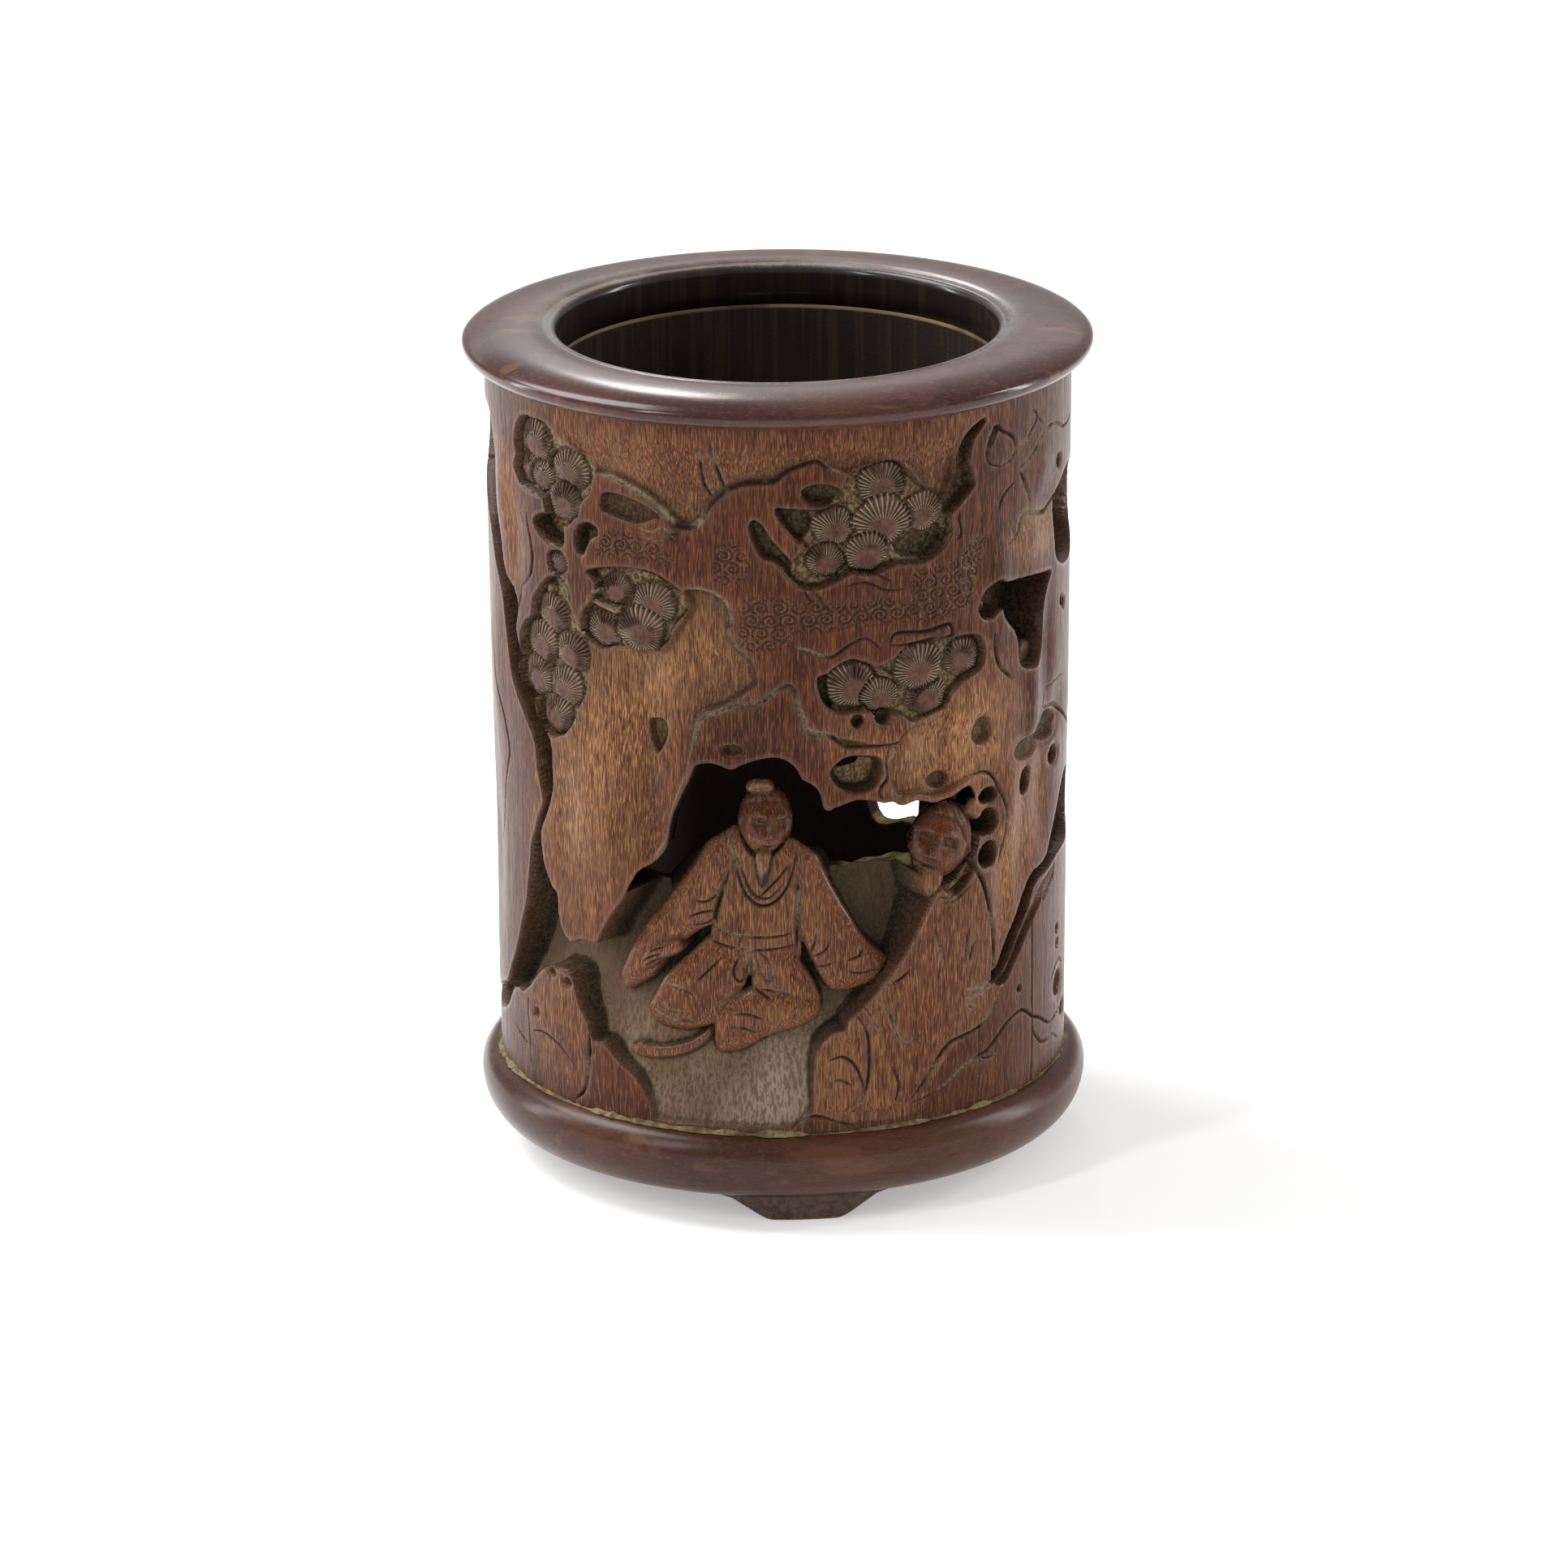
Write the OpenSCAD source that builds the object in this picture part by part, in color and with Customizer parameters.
// Carved bamboo brush pot: a culm section cut through with a landscape in deep relief, closed by
// a hardwood mouth ring above and by a hardwood base ring, a floor disc and three bracket feet below.
// Millimetres, +Z up. The origin is on the pot's axis at the level of the feet's soles, and -Y is
// the carving's main face. A point of the carving is [s, z]: s is the arc length round the culm at
// radius s_radius, counted from the main face towards +X, and z is the height.

/* [Culm] */
// Outer radius of the culm at its lower end
culm_r_low = 54.4; // [53.8:0.1:54.6]
// Outer radius of the culm at its upper end
culm_r_top = 55.3; // [54.8:0.1:55.6]
// Radius of the culm's hollow and of the mouth
mouth_r = 41.4; // [40.5:0.1:42]

/* [Mouth ring] */
// Largest radius of the mouth ring
rim_r = 59.3; // [58.5:0.1:61]
// Height of the ring's top above the ground
rim_top = 160; // [159.6:0.1:161]

/* [Base] */
// Largest radius of the base ring
base_r = 58.2; // [57.5:0.1:60]
// Height of the base ring's top, where the culm shows its lower end
base_top = 17.9; // [17.5:0.1:18.2]
// Height of the feet
foot_h = 4.8; // [4.4:0.1:5.2]
// Direction of the front foot, from -Y towards +X, in degrees
foot_turn = 4.4; // [0:0.1:10]

/* [Hidden] */
$fn = 96;

s_radius = 55;
joint_top = 155;
tongue_drop = 2.3;
tongue_r = 46.5;
culm_seat = 12;
culm_tongue_r = 50;
disc_under = 7;
disc_r = 46;
ledge_r = 40;
wax_w = 0.9;

// Depths of the carving, as the radius that each level is cut down to. The ground behind the
// scholars leans back from the foot of the pot up to the cavern's sill.
ground_foot_r = 53.4;
ground_back_r = 44.2;
ground_foot_z = 19;
cavern_sill_z = 66;
ground_r = 46.5;
figure_r = 52;
cluster_r = 52.6;
needle_r = 54;
sky_r = 53.6;
pit_r = 50.5;

through_from = 30;
beyond = 66;

// The deep recess, in three parts that run into each other: the crevice left of the hanging
// rock, the ground at the scholars' left, and the ground between them. Each part is cut square
// to its own middle, [outline, middle s].
crevice = [[
    [-94, 141], [-88, 147.3], [-79, 147.5], [-73.5, 145], [-70, 138], [-68.5, 130], [-66, 123],
    [-65.5, 119], [-60, 113.5], [-60, 107], [-59, 103.5], [-59.5, 99.3], [-54, 95], [-50, 91],
    [-48.5, 85], [-48.5, 78], [-52, 73], [-53.3, 69], [-52, 62.5], [-48.5, 58.5], [-47.8, 53],
    [-45, 50.7], [-41, 47], [-43, 42], [-50, 43.8], [-55, 41.5], [-60, 36.3], [-66, 35],
    [-71, 30], [-80, 26.5], [-84, 28], [-80, 31.5], [-74, 34], [-68, 40.5], [-63, 46.5],
    [-60, 54], [-58, 64], [-55.5, 71.5], [-52, 76.5], [-54, 84], [-55.5, 89.5], [-62, 97],
    [-66, 106], [-69, 115], [-80, 126],
], -66];
ground_left = [[
    [-48, 46], [-46, 51], [-38, 52], [-34.5, 58], [-30.5, 63.5], [-24.5, 70.2], [-21.3, 77],
    [-20.3, 81], [-17.3, 87.5], [-16, 90.7], [-9.5, 90.2], [-5, 92], [-4, 20.3], [-25.5, 20],
    [-27.5, 25], [-31, 27.7], [-36, 31.5], [-39.6, 31.5], [-43, 37.5], [-45.5, 41],
], -26];
ground_right = [[
    [-9, 91], [-4, 92.9], [-1.5, 93.6], [2.5, 92], [4.8, 88.5], [8.4, 85], [8.8, 82.8],
    [13, 83.7], [20, 83.5], [23, 82.2], [30, 81.4], [39.5, 83.7], [39.3, 76.6], [33, 78.2],
    [27, 77], [24, 72], [24.2, 67.2], [26, 62], [31, 62.5], [26, 55.5], [21, 48.5], [15, 42.5],
    [9.5, 37.7], [6.2, 33], [5.8, 22], [0, 20.2], [-9, 20.8],
], 14];
// The part of that recess that is open right through the wall, each side of the scholar's head.
cavern_left = [[
    [-27, 67.5], [-22, 71.5], [-19.8, 78], [-18.8, 82], [-16.2, 87], [-14.8, 89.2],
    [-9.8, 88.8], [-5, 90.2], [-5, 66.8],
], -17];
cavern_right = [[
    [-7, 90], [-3.5, 91.3], [-1, 91.6], [1.4, 90], [3, 87], [6.4, 83.4], [7.2, 80.8],
    [13, 81.6], [20, 81.5], [23, 79.9], [30, 79.4], [26, 78], [22.8, 73], [22.8, 67.4],
    [-7, 67.2],
], 10];
// The seated scholar: robe, sleeves, crossed legs, head and topknot.
scholar = [[
    [-9, 77.4], [-14.5, 74.3], [-18, 68.5], [-24.5, 61.5], [-31, 53.5], [-35, 46.5],
    [-33.5, 42.5], [-28.8, 45.8], [-28.5, 39], [-24, 36.8], [-14.5, 36.5], [-22, 34],
    [-31, 32.5], [-30, 31], [-20, 32.6], [-13, 33.5], [-8, 33.4], [0, 37.2], [6.5, 40],
    [7.6, 44.8], [14, 44.6], [20, 46.5], [22, 50.3], [17.5, 54], [12, 61.5], [7.5, 70.8],
    [2.6, 75], [2.5, 80], [0.5, 83.6], [-1.7, 84.7], [-1.7, 86.4], [-4.2, 86.9],
    [-6.5, 86.3], [-6.3, 84.7], [-8, 82.5], [-8.8, 79.5],
], -6];
// The shallow sky over the pine's bough.
sky = [[
    [-46, 150.5], [-42, 147.5], [-36, 143.5], [-31, 143], [-26, 140], [-20, 136.5],
    [-15.5, 136], [-12.5, 141], [-7, 144.6], [-2, 145], [3, 148], [8, 148.8], [13, 146],
    [23, 141], [33.5, 135.5], [38.6, 140], [39, 146], [41.5, 152], [20, 153.4], [-40, 153.4],
], -3];
// The pits in the right-hand cliff, and the grotto, the window and the gorge of the rear face.
right_pit = [[
    [40.7, 116], [41, 118.3], [45.3, 120.7], [49.5, 120], [60, 118.3], [65, 117.5],
    [61, 111], [61, 103], [57, 101.5], [53, 102.5], [51.8, 108], [46.5, 114.3],
], 54];
cliff_recess = [[
    [68, 131], [73, 134.5], [84, 134], [90, 126], [88, 119], [81, 116.5], [73, 119], [68, 124],
], 78];
cliff_crevice = [[
    [44.5, 42], [49, 47], [55, 53.5], [58, 57.5], [66, 59], [76, 58], [86, 60], [84, 70],
    [75.5, 74.5], [69, 72], [63, 64], [57.5, 60], [52, 53], [47, 46],
], 66];
rear_grotto = [[
    [115, 32], [127, 27], [145, 27], [158, 32], [166, 41], [165, 53], [158, 65], [149, 73],
    [137, 74], [125, 66], [118, 50],
], 141];
rear_window = [[
    [134.2, 50.2], [138, 49.6], [142, 50], [148.6, 49.5], [150, 54], [152, 59], [150.5, 64],
    [146, 67], [140, 67.5], [135, 64], [132, 58],
], 141];
rear_gorge = [[
    [-150, 96], [-143, 104], [-137, 116], [-134, 130], [-138, 141], [-146, 143], [-150, 134],
    [-152, 120], [-157, 108],
], -145];

// The pine's needle clusters: a pocket outline with its needle discs, each [s, z, radius].
pine_clusters = [
    [[[-60, 141], [-59, 148], [-52, 151], [-45, 148.5], [-37, 145], [-38, 140], [-42, 133],
      [-46, 128], [-53, 131], [-56, 136]],
     [[-54, 146.3, 4.6], [-54.6, 140.3, 4.2], [-43, 142.8, 4.6], [-45, 136.2, 4.6]]],
    [[[-40.5, 125], [-30, 127], [-21, 126], [-16.8, 122.5], [-20, 116], [-25, 111], [-34, 111],
      [-40.5, 116], [-36, 121]],
     [[-30.5, 122, 3.4], [-23, 121, 4.6], [-26.5, 115.3, 5], [-36, 114.6, 4.2]]],
    [[[-53, 118], [-46, 122], [-42, 116], [-38.5, 109], [-39.5, 101], [-42, 95], [-47, 91.5],
      [-56, 95], [-59.5, 101], [-58, 110]],
     [[-48.5, 113.8, 3.8], [-52.5, 107.3, 4.6], [-43.5, 107, 4.2], [-54.5, 100.8, 4.4],
      [-46, 100.6, 4.4], [-48.5, 94.8, 3]]],
    [[[-1, 139.5], [9, 141], [14, 147.5], [24, 147], [33, 140], [32.5, 130], [27, 127.6],
      [14, 127], [6, 125.3], [2, 127.5], [5, 132]],
     [[20, 144, 3.8], [10.3, 136.6, 4.4], [20.3, 136.6, 5], [28, 137.6, 4.4], [8.3, 130.4, 3.4],
      [17.5, 130.4, 4.4]]],
    [[[2, 114], [9, 111.5], [15, 115], [22, 113], [34, 112], [41, 109], [41, 105], [34, 102],
      [24, 98], [12, 100], [7, 106], [10, 109.5]],
     [[27.5, 108, 5], [37, 107.3, 4.4], [13.5, 105.8, 4.4], [19.8, 103.6, 4], [30.5, 102.2, 4]]],
    [[[98, 122], [106, 128], [118, 127], [124, 119], [120, 110], [108, 107], [99, 112]],
     [[104, 120.5, 4.6], [113, 122.3, 4.8], [118, 115, 4.4], [108.5, 113.2, 4.8]]],
    [[[-128, 74], [-120, 80], [-110, 78], [-104, 70], [-108, 62], [-119, 60], [-127, 65]],
     [[-121.5, 73, 4.8], [-112.5, 73, 4.6], [-110.5, 66, 4], [-119.5, 65.6, 4.4]]],
];
// Worm-eaten hollows in the rock: [s, z, radius].
hollows = [
    [-24.2, 95, 2.6], [31.8, 84.6, 1.9], [41.8, 92, 2.7], [55.6, 79, 2.4], [68, 80.3, 2.1],
    [43.2, 79.3, 1.7], [43, 74.2, 2.5], [43.5, 67.5, 2.4], [53.5, 86.2, 3], [15, 88.6, 3.4],
    [72, 32.5, 2.8], [-31, 138.3, 2.2], [-37.8, 130.8, 2], [-3.2, 134, 2.3], [100, 60, 3.1],
    [106, 53, 2.2], [112, 84, 3], [92, 98, 2.5], [-165, 62, 3.2], [-158, 52, 2.2],
    [-99, 118, 2.8], [-92, 66, 2.6], [-168, 84, 2.2],
];

// An outline laid flat across the pot at the culm's radius, square to its middle s.
function laid(part) =
    [for (p = part[0]) [s_radius * sin((p[0] - part[1]) / s_radius * 180 / PI), p[1]]];

// An outline cut straight in towards the axis, from radius from_r outwards.
module cut(part, from_r) {
    rotate([0, 0, part[1] / s_radius * 180 / PI])
    translate([0, -from_r, 0])
    rotate([90, 0, 0])
    linear_extrude(beyond - from_r)
    polygon(laid(part));
}

// A pocket whose floor is round the pot's own axis, at radius floor_r.
module pocket(part, floor_r) {
    difference() {
        cut(part, 30);
        cylinder(r = floor_r, h = rim_top, $fn = 180);
    }
}

// The leaning ground: a cone up to the cavern's sill and a cylinder above it.
module leaning_ground() {
    rotate_extrude($fn = 180)
    polygon([[0, 0], [ground_foot_r, 0], [ground_foot_r, ground_foot_z],
             [ground_back_r, cavern_sill_z], [ground_back_r, rim_top], [0, rim_top]]);
}

module recess_pocket() {
    difference() {
        union() {
            cut(crevice, 34);
            cut(ground_left, 34);
            cut(ground_right, 34);
        }
        cut(scholar, 32);
        leaning_ground();
    }
}

module cavern_window() {
    difference() {
        union() {
            cut(cavern_left, through_from);
            cut(cavern_right, through_from);
        }
        cut(scholar, through_from - 2);
    }
}

// A radial round bar at [s, z], from the axis out to radius to_r.
module radial_bar(s, z, r, to_r, from_r = 0) {
    rotate([0, 0, s / s_radius * 180 / PI])
    translate([0, -from_r, z])
    rotate([90, 0, 0])
    cylinder(r = r, h = to_r - from_r, $fn = 48);
}

// The middle s of an outline.
function mean(outline) = (min([for (p = outline) p[0]]) + max([for (p = outline) p[0]])) / 2;

module pine_pocket(cluster) {
    difference() {
        pocket([cluster[0], mean(cluster[0])], cluster_r);
        for (d = cluster[1]) radial_bar(d[0], d[1], d[2], needle_r);
    }
}

module hollow(s, z, r) {
    radial_bar(s, z, r, beyond, pit_r);
}

// The culm: a tube with a turned-down tongue below and a rebate for the mouth ring above.
module culm_blank() {
    rotate_extrude($fn = 180)
    polygon([
        [mouth_r, culm_seat], [culm_tongue_r, culm_seat], [culm_tongue_r, base_top],
        [culm_r_low, base_top], [culm_r_top, joint_top], [tongue_r, joint_top],
        [tongue_r, joint_top - tongue_drop], [mouth_r, joint_top - tongue_drop],
    ]);
}

// A rounded knob of the carving, such as a head: a sphere at [s, z] whose front reaches front_r.
module knob(s, z, r, front_r) {
    rotate([0, 0, s / s_radius * 180 / PI])
    translate([0, -(front_r - r), z])
    sphere(r = r, $fn = 48);
}

module scholar_heads() {
    knob(-3.4, 78.9, 5.6, 53.4);
    knob(35, 71.2, 6.8, 56);
}

module bamboo_body() {
    color([0.48, 0.25, 0.15])
    union() {
        carved_culm();
        scholar_heads();
    }
}

module carved_culm() {
    difference() {
        culm_blank();
        pocket(sky, sky_r);
        recess_pocket();
        cavern_window();
        pocket(scholar, figure_r);
        pocket(right_pit, ground_r);
        pocket(cliff_recess, ground_r);
        pocket(cliff_crevice, ground_r);
        pocket(rear_grotto, ground_r);
        pocket(rear_gorge, ground_r);
        cut(rear_window, through_from);
        for (cluster = pine_clusters) pine_pocket(cluster);
        for (h = hollows) hollow(h[0], h[1], h[2]);
    }
}

// Points on a quarter ellipse about [cx, cz], from angle a0 to angle a1.
function arc(cx, cz, rx, rz, a0, a1, n = 12) =
    [for (i = [0 : n]) let (a = a0 + (a1 - a0) * i / n) [cx + rx * cos(a), cz + rz * sin(a)]];

module rim_ring() {
    lip_z = rim_top - 1.8;
    color([0.25, 0.13, 0.10])
    rotate_extrude($fn = 180)
    polygon(concat(
        [[mouth_r, joint_top - tongue_drop], [tongue_r, joint_top - tongue_drop],
         [tongue_r, joint_top], [culm_r_top + 0.1, joint_top]],
        arc(culm_r_top + 0.3, lip_z, rim_r - culm_r_top - 0.3, lip_z - joint_top, -84, 0),
        arc(rim_r - 2.8, lip_z, 2.8, rim_top - lip_z - 0.15, 6, 84),
        [[51, rim_top], [45.5, rim_top - 0.05]],
        arc(mouth_r + 1.4, rim_top - 1.6, 1.4, 1.4, 90, 180, 6)
    ));
}

module base_ring() {
    bulge_z = 13.4;
    color([0.26, 0.13, 0.09])
    rotate_extrude($fn = 180)
    polygon(concat(
        [[ledge_r, foot_h]],
        arc(51.5, bulge_z, base_r - 51.5, bulge_z - foot_h, -90, 0, 18),
        arc(culm_r_low - 0.5, bulge_z, base_r - culm_r_low + 0.5, base_top - bulge_z, 6, 90),
        [[culm_tongue_r, base_top], [culm_tongue_r, culm_seat], [disc_r, culm_seat],
         [disc_r, disc_under], [ledge_r, disc_under]]
    ));
}

module floor_disc() {
    color([0.22, 0.12, 0.09])
    translate([0, 0, disc_under]) cylinder(r = disc_r, h = culm_seat - disc_under, $fn = 128);
}

// A bracket foot: an ogee outline cut from a ring, glued under the base ring.
module bracket_foot(turn) {
    half = [[14.6, 1], [13.4, 0.94], [12, 0.78], [9.4, 0.43], [7.5, 0.19], [6.2, 0.05], [4.6, 0]];
    outline = concat([for (p = half) [p[0], p[1] * foot_h]],
                     [for (i = [len(half) - 1 : -1 : 0]) [-half[i][0], half[i][1] * foot_h]]);
    color([0.20, 0.12, 0.10])
    rotate([0, 0, turn])
    intersection() {
        translate([0, -40, 0]) rotate([90, 0, 0]) linear_extrude(20) polygon(outline);
        difference() {
            cylinder(r = 52.6, h = foot_h);
            translate([0, 0, -1]) cylinder(r = 44.5, h = foot_h + 2);
        }
    }
}

module foot_front() { bracket_foot(foot_turn); }
module foot_rear_right() { bracket_foot(foot_turn + 120); }
module foot_rear_left() { bracket_foot(foot_turn + 240); }

// The old wax and glue that fills the corner between the culm and the base ring.
module joint_wax() {
    color([0.42, 0.36, 0.18])
    rotate_extrude($fn = 180)
    polygon([[culm_r_low + 0.05, base_top], [culm_r_low + wax_w, base_top - 0.05],
             [culm_r_low + 0.35, base_top + 0.35], [culm_r_low + 0.05, base_top + wax_w]]);
}

bamboo_body();
rim_ring();
base_ring();
floor_disc();
foot_front();
foot_rear_right();
foot_rear_left();
joint_wax();
